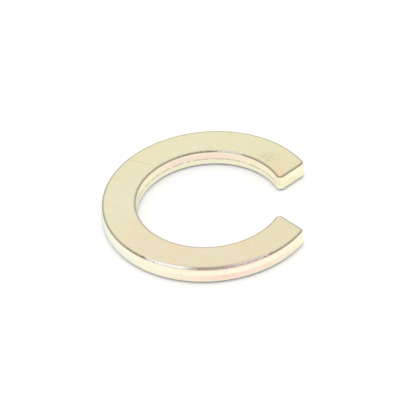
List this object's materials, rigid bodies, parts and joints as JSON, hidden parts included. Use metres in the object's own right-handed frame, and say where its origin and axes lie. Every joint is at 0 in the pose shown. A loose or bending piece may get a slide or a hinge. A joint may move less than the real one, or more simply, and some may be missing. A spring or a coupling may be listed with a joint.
{
  "type": "external retaining ring",
  "caption": "Flat open C ring sheared from steel strip, with flared, rounded ends, that springs over a shaft and sits in its groove.",
  "frame": {"origin": "on the ring's axis, at the base that it lies on", "axes": "+Z along the ring's axis, from the rounded base up to the burred face; +X out through the middle of the mouth"},
  "size_m": [0.0466, 0.05, 0.0042],
  "materials": {
    "plated_steel": "yellow chromated zinc plate, satin, faintly iridescent"
  },
  "bodies": {
    "root": {"retaining_ring": "plated_steel"}
  },
  "joints": []
}
